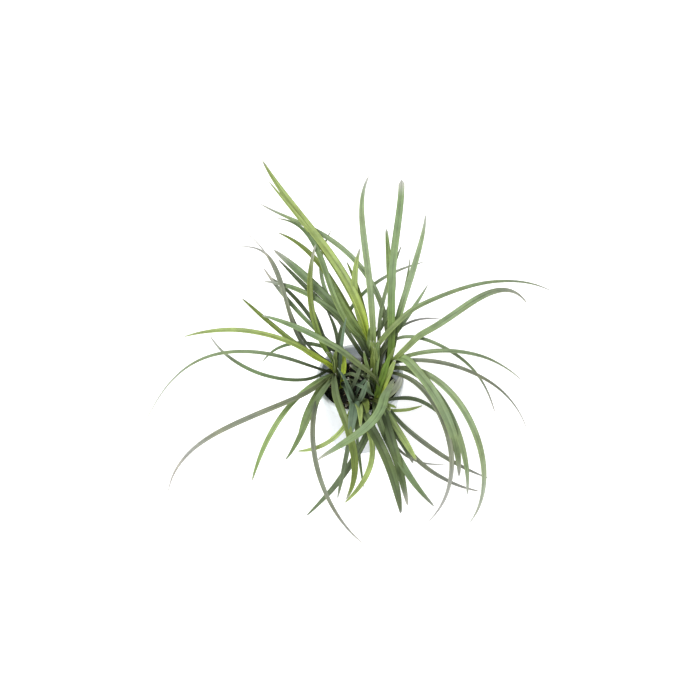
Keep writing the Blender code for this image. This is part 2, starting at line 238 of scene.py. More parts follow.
LEAVES = {}
LEAVES["tuft_left"] = (
    Leaf("olive", 3.3, (-29, 33, 82), (-26, 60, 100), base="moss", reach=0.5, fade=0.75),
    Leaf("ash", 2.4, (-43, 36, 76), (-57, 68, 84), (-75, 75, 80), taper=0.4, tip=THIN_TIP),
    Leaf("ash", 1.8, (-44, 40, 74), (-55, 65, 84), (-70, 80, 90), fade=0.5, taper=0.4, tip=THIN_TIP),
    Leaf("olive", 3.4, (-39, 11, 70), (-55, 25, 73), (-70, 44, 70), base="lime", slim=1.2),
    Leaf("fresh", 3.4, (-39, 8, 72), (-69, 13, 78), (-88, 17, 72), (-104, 26, 56), slim=1.3),
    Leaf("sage", 2.4, (-32, -9, 60), (-58, -9, 66), (-87, 14, 72), fade=0.65),
    Leaf("grey", 2.8, (-28, -5, 68), (-65, -4, 80), (-105, -3, 58), (-128, -5, 16), base="shade",
         reach=0.4, fade=0.5, taper=0.3, tip=THIN_TIP),
    Leaf("ash", 3.3, (-67, -38, 60), (-97, -45, 40), (-112, -56, 12), base="drab", fade=0.5, taper=0.35,
         tip=THIN_TIP),
    Leaf("mid", 3.0, (-44, -32, 58), (-62, -59, 30), base="sage"),
    Leaf("deep", 3.6, (-27, -27, 57), (-37, -44, 44), (-43, -47, 34), base="dark", low=((-13, 0, 45),
         (-15, -6, 57), (-19, -13, 60))),
    Leaf("mid", 3.2, (-28, -22, 55), (-36, -39, 40), base="drab"),
    Leaf("ash", 2.8, (-27, -45, 53), (-18, -74, 34), (3, -92, 14), taper=0.4, tip=THIN_TIP),
    Leaf("olive", 4.4, (-9, -37, 60), (-5, -48, 53), (-8, -70, 28), base="dark", reach=0.7,
         low=((-13, 1, 45), (-15, -2, 55), (-15, -10, 60), (-14, -22, 61))),
    Leaf("sage", 2.2, (1, 48, 68), (38, 62, 82), fade=0.5),
    Leaf("dark", 2.4, (-28, 35, 60), (-41, 53, 63), (-55, 68, 62)),
    Leaf("dark", 2.6, (-24, 33, 56), (-31, 55, 57)),
    Leaf("dark", 2.2, (-14, 30, 54), (-20, 48, 54)),
    Leaf("lime", 2.8, (-11, 11, 66), slim=1.0, low=((-11, -4, 45), (-10, -2, 53), (-9, 2, 61))),
    Leaf("teal", 2.2, (-10, 8, 78), (-8, 13, 90), low=((-12, -1, 50), (-11, 5, 68))),
    Leaf("dark", 2.4, (1, -9, 60), low=((-12, -2, 47), (-9, -3, 56), (-5, -5, 62))),
    Leaf("teal", 3.0, (-5, -23, 58), (-2, -33, 54), low=((-11, -2, 47), (-8, -12, 56))),
    Leaf("teal", 2.2, (8, -19, 58), low=((-12, -2, 47), (-6, -9, 58), (1, -15, 62))),
)
LEAVES["tuft_back"] = (
    Leaf("fresh", 5.0, (0, 28, 81), (-17, 56, 94), (-58, 109, 120), reach=0.3),
    Leaf("fresh", 3.0, (-4, 38, 76), (-17, 57, 88), (-54, 99, 112)),
    Leaf("sage", 3.4, (-22, 50, 95), (-35, 75, 98), (-49, 84, 96), base="mid"),
    Leaf("olive", 3.2, (-10, 36, 78), (-24, 57, 86), (-49, 80, 88)),
    Leaf("grey", 2.2, (-23, 59, 86), (-17, 80, 90)),
    Leaf("sage", 5.1, (-17, 34, 78), (-51, 68, 86), reach=0.65, fade=0.75),
    Leaf("dark", 3.4, (-22, 41, 68), (-49, 71, 74)),
    Leaf("sage", 2.6, (-28, 25, 67), (-58, 68, 70), reach=0.45, fade=0.5, low=((2, 9, 46), (-3, 9, 53),
         (-9, 10, 60), (-16, 14, 63))),
    Leaf("sage", 3.2, (-22, 32, 80), (-57, 57, 70), fade=0.7),
    Leaf("sage", 2.8, (-27, 17, 60), (-46, 21, 53), (-58, 18, 42), low=((1, 9, 46), (-4, 9, 53),
         (-9, 11, 57), (-15, 12, 60))),
    Leaf("mid", 4.0, (-11, 32, 80), (-25, 58, 95)),
    Leaf("fresh", 3.6, (-3, 36, 84), (0, 50, 108), fade=0.85),
    Leaf("olive", 2.4, (-1, 38, 84), (-8, 47, 100)),
    Leaf("grey", 2.6, (18, 31, 82), (19, 50, 99)),
    Leaf("grey", 3.6, (7, 17, 84), (4, 41, 105), (1, 63, 120), (5, 88, 128), base="olive", reach=0.4,
         low=((6, 10, 46), (7, 8, 60), (8, 8, 72))),
    Leaf("dark", 2.6, (-6, 17, 68), (-13, 27, 72), (-20, 34, 76), slim=1.0, low=((5, 8, 46), (4, 7, 55),
         (-2, 12, 64))),
    Leaf("dark", 2.4, (-6, -1, 64), low=((2, 8, 45), (0, 4, 56))),
    Leaf("deep", 3.8, (-5, 20, 71), (-14, 29, 75), slim=1.0, low=((6, 9, 46), (5, 9, 57), (1, 13, 66))),
    Leaf("deep", 2.8, (-2, -4, 70), low=((3, 7, 45), (1, 2, 58))),
)
LEAVES["tuft_centre"] = (
    Leaf("grey", 3.2, (13, 31, 77), (4, 47, 87), (-29, 77, 95), (-60, 97, 95), low=((13, -1, 46),
         (15, 5, 58), (16, 14, 68))),
    Leaf("sage", 4.0, (-32, 11, 80), (-57, 26, 76), base="drab", reach=0.65, low=((11, -10, 50),
         (10, -10, 60), (0, -7, 71), (-12, 0, 77))),
    Leaf("sage", 5.2, (7, -51, 78), (-8, -59, 69), (-24, -58, 50), base="ash", fade=0.75, taper=0.3,
         slim=0.3, low=((12, -10, 48), (17, -12, 60), (20, -14, 68), (17, -24, 74), (13, -35, 78))),
    Leaf("ash", 3.4, (38, -22, 64), (52, -53, 42), (38, -76, 12), base="drab", reach=0.4, fade=0.5,
         taper=0.3, tip=THIN_TIP),
    Leaf("grey", 5.2, (50, -37, 58), (57, -53, 26), base="mid", reach=0.6, slim=1.1, low=((11, -11, 46),
         (16, -7, 58), (21, -1, 71), (26, -6, 76))),
    Leaf("grey", 3.6, (32, -11, 68), (52, -34, 57), (61, -67, 28)),
    Leaf("grey", 3.8, (49, -23, 70), (70, -60, 42), (62, -77, 12), fade=0.6, taper=0.4, tip=THIN_TIP),
    Leaf("grey", 3.4, (70, 37, 91), (114, 57, 62), base="olive", reach=0.5, fade=0.85, taper=0.7,
         slim=1.2, tip=0.35, low=((10, -7, 46), (8, -2, 60), (9, 5, 71), (16, 10, 80), (22, 13, 86),
         (29, 18, 90))),
    Leaf("grey", 4.0, (62, 27, 84), (84, 42, 80), (99, 44, 66), base="olive", reach=0.5, fade=0.6,
         low=((12, -7, 46), (15, -4, 60), (21, -2, 72), (26, 1, 76), (34, 8, 80))),
    Leaf("grey", 2.4, (25, 17, 80), (39, 31, 98)),
    Leaf("ash", 1.4, (28, 19, 78), (47, 24, 75), base="ash", fade=0.2),
    Leaf("grey", 2.6, (25, 10, 76), (48, 3, 75), (70, -5, 55), (79, -14, 36), base="ash", fade=0.7),
    Leaf("grey", 3.2, (47, -2, 78), (95, 5, 42), base="olive", reach=0.4),
    Leaf("ash", 3.2, (30, -4, 72), (57, -8, 70), (82, -13, 54), (98, -18, 26), base="grey", fade=0.7,
         taper=0.4, tip=THIN_TIP),
    Leaf("sage", 4.2, (18, 14, 82), (18, 28, 98), (20, 48, 112), (24, 83, 130), base="moss", slim=1.0,
         tip=CUT_TIP, low=((13, -4, 46), (16, -1, 56), (18, 6, 68))),
    Leaf("mid", 3.6, (18, 25, 84), (17, 40, 98), (15, 56, 118), base="moss", reach=0.7, tip=0.35,
         low=((14, -2, 46), (16, 2, 57), (18, 11, 68))),
    Leaf("grey", 2.2, (13, 28, 84), (18, 41, 96), (24, 54, 106), low=((12, 0, 46), (11, 7, 60),
         (11, 17, 72))),
    Leaf("grey", 3.8, (22, 18, 82), (29, 35, 98), (38, 67, 118), base="moss", low=((13, -4, 46),
         (17, 0, 58), (19, 8, 68))),
    Leaf("grey", 1.8, (24, 31, 80), (29, 50, 100)),
    Leaf("grey", 2.4, (4, -9, 62), (7, -5, 66), base="lilac", low=((6, -11, 47), (5, -12, 56))),
    Leaf("olive", 2.6, (15, -4, 66), (20, 3, 75), base="lime", low=((11, -8, 46), (12, -7, 56))),
    Leaf("mid", 2.6, (4, -3, 64), (2, 3, 72), low=((9, -7, 46), (7, -6, 55))),
    Leaf("dark", 2.8, (-6, -6, 70), low=((9, -11, 47), (7, -10, 58), (0, -8, 66))),
    Leaf("dark", 3.0, (2, -6, 68), low=((5, -5, 45), (3, -7, 58))),
    Leaf("deep", 3.0, (1, -11, 68), low=((8, -6, 45), (5, -8, 60))),
    Leaf("dark", 2.8, (-8, -10, 62), low=((3, -6, 45), (-2, -8, 58))),
    Leaf("ash", 4.4, (22, -14, 62), (24, -8, 64), base="deep", slim=1.0, low=((14, -14, 46),
         (18, -16, 57))),
    Leaf("fresh", 4.2, (17, -9, 67), (20, -6, 75), reach=0.9, taper=0.4, slim=0.9, tip=0.3,
         low=((11, -13, 46), (13, -12, 56))),
    Leaf("moss", 4.0, (14, -8, 66), (17, -3, 76), reach=0.35, slim=1.0, low=((10, -13, 46),
         (11, -11, 55))),
    Leaf("dark", 2.2, (1, -5, 72), low=((-5, -15, 47), (-5, -13, 56), (-2, -11, 64))),
    Leaf("mid", 2.4, (10, 1, 66), (11, 6, 73), base="mid", low=((9, -8, 46), (9, -6, 52), (9, -4, 58))),
    Leaf("olive", 2.2, (7, 1, 65), (8, 6, 72), low=((8, -8, 46), (7, -6, 53), (7, -3, 58))),
)
LEAVES["tuft_right"] = (
    Leaf("dark", 4.2, (-2, -48, 40), (-31, -71, 12), base="deep", reach=0.6, fade=0.95, slim=1.0),
    Leaf("deep", 4.8, (18, -50, 56), (27, -72, 25), fade=0.75, taper=0.4),
    Leaf("sage", 4.0, (22, -58, 50), (42, -72, 24), base="deep", reach=0.4, fade=0.8, taper=0.4),
    Leaf("fresh", 3.6, (21, -41, 56), (32, -54, 44), base="deep", reach=0.9),
    Leaf("deep", 3.8, (11, -41, 61), (15, -47, 52), (20, -51, 34), low=((8, -13, 45), (9, -28, 58))),
    Leaf("dark", 3.6, (20, -41, 55), (30, -54, 41), low=((9, -12, 45), (14, -28, 57))),
    Leaf("ash", 3.2, (29, -50, 44), (69, -54, 12), base="drab", reach=0.3, fade=0.5),
    Leaf("ash", 3.0, (39, -43, 42), (75, -49, 18), base="sage", taper=0.3, tip=THIN_TIP),
    Leaf("ash", 1.8, (28, -47, 36), (50, -47, 30), fade=0.4, taper=0.3, tip=THIN_TIP),
    Leaf("dark", 2.8, (28, -17, 53), (48, -20, 38)),
    Leaf("fresh", 2.2, (25, -25, 52), (36, -20, 50), low=((10, -15, 46), (14, -24, 51))),
)
LEAVES["tuft_front"] = (
    Leaf("fresh", 2.6, (-17, -45, 50), (-36, -45, 40)),
    Leaf("dark", 2.6, (-8, -51, 43), (-13, -71, 30)),
    Leaf("fresh", 3.0, (7, -47, 44), (-9, -66, 18)),
    Leaf("grey", 1.8, (-1, -42, 36), (2, -58, 22)),
    Leaf("deep", 5.4, (14, -61, 57), (23, -77, 24)),
    Leaf("deep", 4.2, (7, -44, 60), (12, -49, 48), (18, -52, 34), low=((-1, -14, 45), (2, -30, 58))),
    Leaf("teal", 5.6, (-4, -35, 61), (-6, -45, 54), base="dark", slim=1.0, low=((-5, -12, 45),
         (-3, -23, 58))),
    Leaf("deep", 5.0, (0, -36, 58), (-2, -45, 52), slim=1.0, low=((-4, -13, 46), (1, -23, 57))),
    Leaf("teal", 3.0, (4, -9, 62), low=((-3, -12, 45), (-1, -12, 56))),
    Leaf("dark", 3.0, (-7, -10, 64), low=((-5, -11, 45), (-5, -10, 58))),
    Leaf("teal", 3.6, (-7, -19, 66), (-13, -14, 78)),
    Leaf("teal", 3.8, (3, -19, 64), (4, -17, 70)),
    Leaf("olive", 4.4, (4, -29, 60), (4, -35, 60), base="deep", taper=0.3, slim=1.0, tip=0.15,
         low=((-2, -13, 46), (3, -22, 57))),
    Leaf("fresh", 4.6, (0, -37, 63), (0, -43, 61), base="deep", reach=0.9, taper=0.3, slim=1.0, tip=0.15,
         low=((-2, -15, 46), (-1, -27, 60))),
)


# Sizes and colours that a user would change

def metres(name, description, default):
    """A length."""
    return FloatProperty(name=name, description=description, default=default, unit="LENGTH")


def degrees(name, description, default):
    """An angle, kept in radians."""
    return FloatProperty(name=name, description=description, default=math.radians(default),
                         subtype="ANGLE")


def watts(name, description, default):
    """A light's power."""
    return FloatProperty(name=name, description=description, default=default, min=0.0, unit="POWER")


def whole(name, description, default, least=0):
    """A number of things."""
    return IntProperty(name=name, description=description, default=default, min=least)


def rgb(name, description, *default):
    """A colour as linear red, green and blue."""
    return FloatVectorProperty(name=name, description=description, default=default, size=3,
                               subtype="COLOR", min=0.0, max=1.0)


class PotLooks(bpy.types.PropertyGroup):
    """Sizes and colours of the pot."""

    rim_radius: metres("Rim radius", "Outside radius of the band at the rim", POT_RADIUS)
    height: metres("Height", "Height of the rim above the foot", POT_HEIGHT)
    foot_radius: metres("Foot radius", "Outside radius at the foot", 0.0195)
    band_height: metres("Band height", "Height of the band below the rim", 0.0065)
    band_proud: metres("Band step", "How far the band stands out of the wall", 0.0010)
    floor: metres("Floor", "Thickness of the floor", 0.0014)
    steps: whole("Steps", "Steps round the pot", 160, 24)
    plastic: rgb("Plastic", "Colour of the plastic", 0.68, 0.72, 0.75)
    scuff: rgb("Scuff", "Colour of faint scuffs and soil dust", 0.55, 0.55, 0.52)
    stain: rgb("Stain", "Colour of the soil left on the inner wall", 0.16, 0.13, 0.10)


class SoilLooks(bpy.types.PropertyGroup):
    """Sizes and colours of the potting mix."""

    relief: metres("Relief", "Height of the lumps in the surface", 0.0007)
    slump: metres("Slump", "How far the mix has sunk at the wall", 0.008)
    crumbs: whole("Crumbs", "Loose crumbs on the surface", 620)
    crumb_size: metres("Crumb size", "Radius of a middling crumb", 0.00075)
    fibres: whole("Fibres", "Dry fibres on the surface", 46)
    # Painted shade, partly: both colours are darker than the moist mix itself, for the shade among the
    # leaves
    dark: rgb("Moist", "Colour of the moist mix", 0.006, 0.007, 0.004)
    light: rgb("Dry", "Colour of the drier crumbs", 0.024, 0.022, 0.013)


class LeafLooks(bpy.types.PropertyGroup):
    """Sizes and colours of the leaves and their sheaths."""

    thickness: metres("Thickness", "Thickness of a leaf at its keel", 0.0007)
    tip_thickness: metres("Tip thickness", "Thickness of a leaf at its tip", 0.0004)
    channel: degrees("Channel", "Angle that each half of a blade is folded up", 20)
    wrap: degrees("Wrap", "Angle that each half is folded up at the sheath", 62)
    twist: degrees("Twist", "Largest turn of a blade towards its tip", 20)
    veins: whole("Veins", "Fine ribs across a blade", 9, 1)
    stations: whole("Stations", "Sections along a blade", 52, 12)
    dark: rgb("Dark green", "Colour of the shaded dark leaves", 0.106, 0.144, 0.074)
    grey: rgb("Grey green", "Colour of the dull leaves", 0.204, 0.274, 0.145)
    mid: rgb("Mid green", "Colour of the middling leaves", 0.208, 0.296, 0.108)
    olive: rgb("Olive green", "Colour of the older leaves", 0.150, 0.204, 0.048)
    fresh: rgb("Fresh green", "Colour of the lit fresh leaves", 0.290, 0.378, 0.124)
    teal: rgb("Bluish green", "Colour of the young bluish leaves", 0.118, 0.180, 0.115)
    deep: rgb("Deep green", "Colour of the leaves over the front rim", 0.112, 0.160, 0.062)
    moss: rgb("Moss base", "Colour of the broad green leaf bases", 0.115, 0.190, 0.030)
    sage: rgb("Sage green", "Colour of the cool, softly greyed leaves", 0.152, 0.222, 0.102)
    ash: rgb("Ash green", "Colour of the weathered outer leaves", 0.200, 0.226, 0.162)
    lime: rgb("Bright base", "Colour of the brightest leaf bases", 0.340, 0.445, 0.045)
    drab: rgb("Dull base", "Colour of the dull leaf bases", 0.110, 0.140, 0.055)
    lilac: rgb("Greyed base", "Colour of the greyed leaf bases", 0.120, 0.130, 0.085)
    # Painted shade: the darkest base tone stands for the shade deep in the crown, among the other leaves
    shade: rgb("Dark base", "Colour of the darkest leaf bases", 0.034, 0.050, 0.024)
    husk: rgb("Husk", "Colour of the dry sheath at the soil", 0.060, 0.048, 0.024)
    faded: rgb("Faded tip", "Colour that tips fade to", 0.440, 0.430, 0.430)


class StageLooks(bpy.types.PropertyGroup):
    """The camera, the lights and the floor."""

    elevation: degrees("Elevation", "Camera's angle above the horizon", 52)
    distance: metres("Distance", "Camera's distance from its target", 0.967)
    target: FloatVectorProperty(name="Target", description="Point at the middle of the view", size=3,
                                subtype="XYZ", default=(-0.00585, 0.0129, 0.0601), unit="LENGTH")
    lens: FloatProperty(name="Lens", description="Focal length in millimetres", default=85.0)
    floor_size: metres("Floor", "Side of the floor", 6.0)
    floor_colour: rgb("Floor colour", "Colour of the floor", 0.93, 0.93, 0.93)
    floor_glow: FloatProperty(name="Floor glow", description="Light that the floor gives by itself",
                              default=0.45, min=0.0)
    sky: FloatProperty(name="Sky", description="Strength of the even light all round", default=0.55,
                       min=0.0)
    key: watts("Key light", "Power of the large soft light", 15.0)
    fill: watts("Fill light", "Power of the light on the other side", 2.5)


# Materials

class Value:
    """A number, colour or vector in a material, on which Python's operators add Math nodes."""

    def __init__(self, finish, socket):
        self.finish = finish
        self.socket = socket

    def maths(self, operation, first, second=0.0):
        return self.finish.node("ShaderNodeMath", {"operation": operation}, {0: first, 1: second})

    def __add__(self, other):
        return self.maths("ADD", self, other)

    def __radd__(self, other):
        return self.maths("ADD", other, self)

    def __sub__(self, other):
        return self.maths("SUBTRACT", self, other)

    def __rsub__(self, other):
        return self.maths("SUBTRACT", other, self)

    def __mul__(self, other):
        return self.maths("MULTIPLY", self, other)

    def __rmul__(self, other):
        return self.maths("MULTIPLY", other, self)

    def __abs__(self):
        return self.maths("ABSOLUTE", self)

    def sine(self):
        return self.maths("SINE", self)


class Finish:
    """A material built round one Principled BSDF, with the finish's constants on its sockets."""

    def __init__(self, name, constants):
        self.material = bpy.data.materials.new(name)
        self.material.use_nodes = True
        self.tree = self.material.node_tree
        self.shader = self.tree.nodes["Principled BSDF"]
        for socket, value in constants.items():
            self.shader.inputs[socket].default_value = value

    def node(self, kind, settings, inputs, output=0):
        """A node of a type: its settings are set first, then its sockets' values or links."""
        made = self.tree.nodes.new(kind)
        for key, value in settings.items():
            setattr(made, key, value)
        for key, value in inputs.items():
            if isinstance(value, Value):
                self.tree.links.new(value.socket, made.inputs[key])
            else:
                made.inputs[key].default_value = value
        return Value(self, made.outputs[output])

    def feed(self, socket, value):
        self.tree.links.new(value.socket, self.shader.inputs[socket])

    def place(self):
        return self.node("ShaderNodeTexCoord", {}, {}, "Object")

    def part(self, vector, axis):
        return self.node("ShaderNodeSeparateXYZ", {}, {0: vector}, axis)

    def times(self, vector, factors):
        """A vector or colour, each of its parts by its own factor."""
        return self.node("ShaderNodeVectorMath", {"operation": "MULTIPLY"}, {0: vector, 1: factors})

    def scaled(self, colour, shade):
        """A colour, all of its parts by one number."""
        return self.node("ShaderNodeVectorMath", {"operation": "SCALE"}, {0: colour, "Scale": shade})

    def noise(self, vector, scale, detail=3.0):
        return self.node("ShaderNodeTexNoise", {}, {"Vector": vector, "Scale": scale, "Detail": detail})

    def ramp(self, value, low, high):
        """0 below low, 1 above high and an even slope between them."""
        return self.node("ShaderNodeMapRange", {"clamp": True}, {0: value, 1: low, 2: high})

    def mix(self, share, first, second):
        """The first colour at share 0 and the second at share 1."""
        settings = {"data_type": "RGBA", "clamp_factor": True}
        return self.node("ShaderNodeMix", settings, {0: share, 6: first, 7: second}, 2)

    def bump(self, height, strength, distance):
        inputs = {"Height": height, "Strength": strength, "Distance": distance}
        self.feed("Normal", self.node("ShaderNodeBump", {}, inputs))


def solid(colour):
    """The colour with full opacity."""
    return (*colour, 1.0)


def leaf_finish(looks):
    """Leaf skin: the blade's own colour, yellower margins and patches, veins, streaks and mottles."""
    skin = Finish("strap leaf", {"Specular IOR Level": 0.30})
    uv = skin.node("ShaderNodeUVMap", {"uv_map": "blade"}, {})
    across, along = skin.part(uv, 0), skin.part(uv, 1)
    number = skin.node("ShaderNodeAttribute", {"attribute_name": "number"}, {}, "Fac")
    colour = skin.node("ShaderNodeAttribute", {"attribute_name": "tint"}, {}, "Color")
    veins = (across * (math.tau * looks.veins)).sine()
    strip = skin.node("ShaderNodeCombineXYZ", {}, {0: across * 6.0, 1: along * 4.0, 2: number * 31.0})
    streaks = skin.ramp(skin.noise(strip, scale=1.0, detail=4.0), low=0.30, high=0.70)
    mottles = skin.ramp(skin.noise(skin.place(), scale=170.0, detail=4.0), low=0.30, high=0.70)
    # The keel's darker line: partly the leaf's own darker midrib, partly painted shade in the crease of
    # the fold
    keel = 1.0 - skin.ramp(abs(across - 0.5), low=0.01, high=0.11)
    margin = skin.ramp(abs(across - 0.5), low=0.38, high=0.50)
    patches = skin.ramp(skin.noise(skin.place(), scale=55.0, detail=2.0), low=0.45, high=0.70)
    colour = skin.mix(margin * 0.5 + patches * 0.4, colour, skin.times(colour, (1.15, 1.06, 0.78)))
    # keel * 0.24 is the darker keel line, partly painted shade in the fold's crease
    shade = 0.62 + streaks * 0.44 + mottles * 0.30 + veins * 0.06 - keel * 0.24 + margin * 0.16
    skin.feed("Base Color", skin.scaled(colour, shade))
    skin.feed("Roughness", 0.34 + streaks * 0.24)
    skin.bump(veins * 0.5 + streaks, strength=0.35, distance=0.0002)
    return skin.material


def wall_slope(pot):
    """How far the wall's outside runs outwards for each metre that it rises."""
    return (pot.rim_radius - pot.band_proud - pot.foot_radius) / pot.height


def plastic_finish(looks):
    """White moulded plastic: faint mottles, thin upright flow marks, dust and soil stains inside.

    A point is inside the wall where its distance from the axis is less than the outside's radius at its
    height, foot radius + slope * z, by most of the wall.
    """
    constants = {
        "Specular IOR Level": 0.45,
        "Subsurface Weight": 0.7,
        "Subsurface Radius": (1.0, 1.0, 1.0),
        "Subsurface Scale": 0.004,
    }
    plastic = Finish("moulded white plastic", constants)
    place = plastic.place()
    stretched = plastic.node("ShaderNodeMapping", {}, {"Vector": place, "Scale": (1.0, 1.0, 0.06)})
    flow = plastic.noise(stretched, scale=420.0, detail=2.0)
    cloud = plastic.noise(place, scale=60.0)
    dust = plastic.ramp(plastic.noise(place, scale=150.0, detail=5.0), low=0.56, high=0.80)
    level = plastic.part(place, 2)
    flat = plastic.times(place, (1.0, 1.0, 0.0))
    radius = plastic.node("ShaderNodeVectorMath", {"operation": "LENGTH"}, {0: flat}, 1)
    depth = level * wall_slope(looks) + looks.foot_radius - radius
    inside = plastic.ramp(depth, low=0.4 * WALL, high=0.8 * WALL)
    splash = plastic.ramp(dust * STAIN_EDGE + STAIN_TOP - level, low=0.0, high=STAIN_EDGE)
    shine = plastic.mix(dust * 0.3, solid(looks.plastic), solid(looks.scuff))
    shine = plastic.mix(inside * splash * 0.7, shine, solid(looks.stain))
    plastic.feed("Base Color", plastic.scaled(shine, 0.94 + cloud * 0.07 + flow * 0.05))
    plastic.feed("Roughness", 0.34 + cloud * 0.10 + dust * 0.15)
    plastic.bump(flow + cloud, strength=0.10, distance=0.0002)
    return plastic.material


def soil_finish(looks):
    """Moist potting mix, dark partly as painted shade, with drier, browner lumps and a rough, crumbly
    surface.
    """
    mix = Finish("moist potting mix with painted shade", {"Specular IOR Level": 0.30})
    place = mix.place()
    lumps = mix.noise(place, scale=520.0, detail=6.0)
    patches = mix.noise(place, scale=110.0)
    dry = mix.ramp(lumps * 0.6 + patches * 0.6, low=0.55, high=0.85)
    # The colours hold painted shade of the gaps among the leaves, on top of the moist mix's own darkness
    mix.feed("Base Color", mix.mix(dry, solid(looks.dark), solid(looks.light)))
    mix.feed("Roughness", 0.78 + dry * 0.18)
    mix.bump(lumps, strength=0.8, distance=0.0006)
    return mix.material


def fibre_finish():
    """Dry plant fibre: patches of pale straw and dark brown."""
    straw = Finish("dry fibre", {"Roughness": 0.8})
    patches = straw.noise(straw.place(), scale=300.0)
    straw.feed("Base Color", straw.mix(patches, (0.10, 0.065, 0.03, 1.0), (0.36, 0.26, 0.14, 1.0)))
    return straw.material


def floor_finish(looks):
    """Pale matt floor that also gives a little light by itself."""
    constants = {
        "Base Color": solid(looks.floor_colour),
        "Roughness": 0.9,
        "Specular IOR Level": 0.1,
        "Emission Color": solid(looks.floor_colour),
        "Emission Strength": looks.floor_glow,
    }
    return Finish("pale floor", constants).material


# Surfaces

def sheet_faces(rows, columns, start=0):
    """Quads of a grid of points, row by row, whose last column joins its first."""
    row = np.arange(rows - 1)[:, None] * columns
    column = np.arange(columns)[None, :]
    beside = (column + 1) % columns
    corners = (row + column, row + beside, row + columns + beside, row + columns + column)
    return np.stack(corners, axis=-1).reshape(-1, 4) + start


def capped(grid, first_middle, last_middle):
    """Points and faces of a grid whose first and last rows are closed by fans round two middle points."""
    rows, columns = grid.shape[:2]
    total = rows * columns
    ring = np.arange(columns)
    beside = (ring + 1) % columns
    last = total - columns
    faces = sheet_faces(rows, columns).tolist()
    faces += np.stack((np.full(columns, total), beside, ring), axis=1).tolist()
    faces += np.stack((np.full(columns, total + 1), last + ring, last + beside), axis=1).tolist()
    return np.concatenate((grid.reshape(-1, 3), (first_middle, last_middle))), faces


def placed(name, data):
    """A new object at the origin of the scene."""
    made = bpy.data.objects.new(name, data)
    bpy.context.scene.collection.objects.link(made)
    return made


def new_piece(name, points, faces, material):
    """A mesh piece at the origin that rides on the frame."""
    mesh = bpy.data.meshes.new(name)
    mesh.from_pydata(points.tolist(), [], faces)
    mesh.materials.append(material)
    mesh.shade_smooth()
    piece = placed(name, mesh)
    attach(piece, BODY)
    return piece


def unit(vectors):
    return vectors / np.linalg.norm(vectors, axis=-1, keepdims=True)


def ease(value):
    """0 to 1 with a soft start and end."""
    value = np.clip(value, 0.0, 1.0)
    return value * value * (3 - 2 * value)


def centre_line(points, count):
    """Points along the one polynomial through all the given points.

    Its parameter at each given point is that point's share of the summed chords, and each given point
    is weighted by the product of (t - knot) / (own knot - knot) over the other knots.
    """
    points = np.array(points)
    chords = np.linalg.norm(np.diff(points, axis=0), axis=1)
    knots = np.concatenate(((0.0,), np.cumsum(chords))) / chords.sum()
    steps = np.linspace(0.0, 1.0, count)
    line = np.zeros((count, 3))
    for own, point in enumerate(points):
        others = np.delete(knots, own)
        weight = np.prod((steps[:, None] - others) / (knots[own] - others), axis=1)
        line += weight[:, None] * point
    return line


def even_steps(line, count):
    """The same line with its points spaced evenly along its length."""
    lengths = np.concatenate(((0.0,), np.cumsum(np.linalg.norm(np.diff(line, axis=0), axis=1))))
    steps = np.linspace(0.0, lengths[-1], count)
    return np.stack([np.interp(steps, lengths, line[:, axis]) for axis in range(3)], axis=1)


def softened(line, passes):
    """Each inner point moves to (previous + 2 * own + next) / 4 a few times, and the ends stay."""
    for _ in range(passes):
        middle = (line[:-2] + 2 * line[1:-1] + line[2:]) / 4
        line = np.concatenate((line[:1], middle, line[-1:]))
    return line


def on_sheath(foot, crown, share):
    """A point on the axis of a crown's sheaths, from the soil (0) to the crown (1)."""
    low = np.array((*foot, SOIL_TOP))
    return low + (crown - low) * share


def leaf_line(foot, crown, grown, looks):
    """A leaf's keel from the soil to its tip, and the share of its length that wraps the crown.

    It climbs beside the sheaths' axis to its root, set outwards by a share of their radius that grows
    with height, then follows its own curve, and that shift fades out along the first part of the blade.
    High leaves lie near the axis. The corners are softened over a few millimetres. What lies below the
    crown's height before the blade starts is the wrapped part.
    """
    height = min(1.0, grown.points[-1][2] / HIGH_TIP)
    root_share = LOW_LEAF_SHARE + (HIGH_LEAF_SHARE - LOW_LEAF_SHARE) * height
    if len(grown.low):
        sheath = grown.low[:-1]
        blade = centre_line([grown.low[-1], *grown.points], CURVE_POINTS)
    else:
        low = on_sheath(foot, crown, 0.0)
        blade = centre_line([on_sheath(foot, crown, root_share), *grown.points], CURVE_POINTS)
        out = unit((blade[-1] - blade[0]) * LEVEL + TINY)
        shift = out * SHEATH_RADIUS * (LOW_LEAF_SHIFT - SHIFT_LOSS * height)
        climb = np.linspace(-BURIED, root_share, CLIMB_POINTS)[:-1, None]
        sheath = low + (crown - low) * climb + shift * (FOOT_SHIFT + FOOT_SHIFT * climb)
        fade = (1 - ease(np.linspace(0.0, 1 / SHIFT_END, len(blade))))[:, None]
        blade = blade + shift * (FOOT_SHIFT + FOOT_SHIFT * root_share) * fade
    line = even_steps(np.concatenate((sheath, blade)), LINE_POINTS)
    step = np.linalg.norm(line[1] - line[0])
    line = softened(line, int(2 * (CORNER / step) ** 2))
    below = sheath[sheath[:, 2] < crown[2]]
    wrapped = np.linalg.norm(np.diff(below, axis=0), axis=1).sum()
    return even_steps(line, looks.stations), min(MOST_WRAPPED, (wrapped + MM) / (LINE_POINTS * step))


def blade_frame(line, turn):
    """Side and face directions along a keel; the face looks up, and outwards where it is steep.

    Both are turned about the keel by the given angle at each point.
    """
    along = unit(np.gradient(line, axis=0))
    heading = (line[-1] - line[0]) * LEVEL
    across = np.cross(UP, unit(heading))
    side = np.cross(UP, along) + STEEP_TURN * across
    side = unit(side - along * np.sum(side * along, axis=1, keepdims=True))
    face = np.cross(along, side)
    turn = turn[:, None]
    return side * np.cos(turn) + face * np.sin(turn), face * np.cos(turn) - side * np.sin(turn)


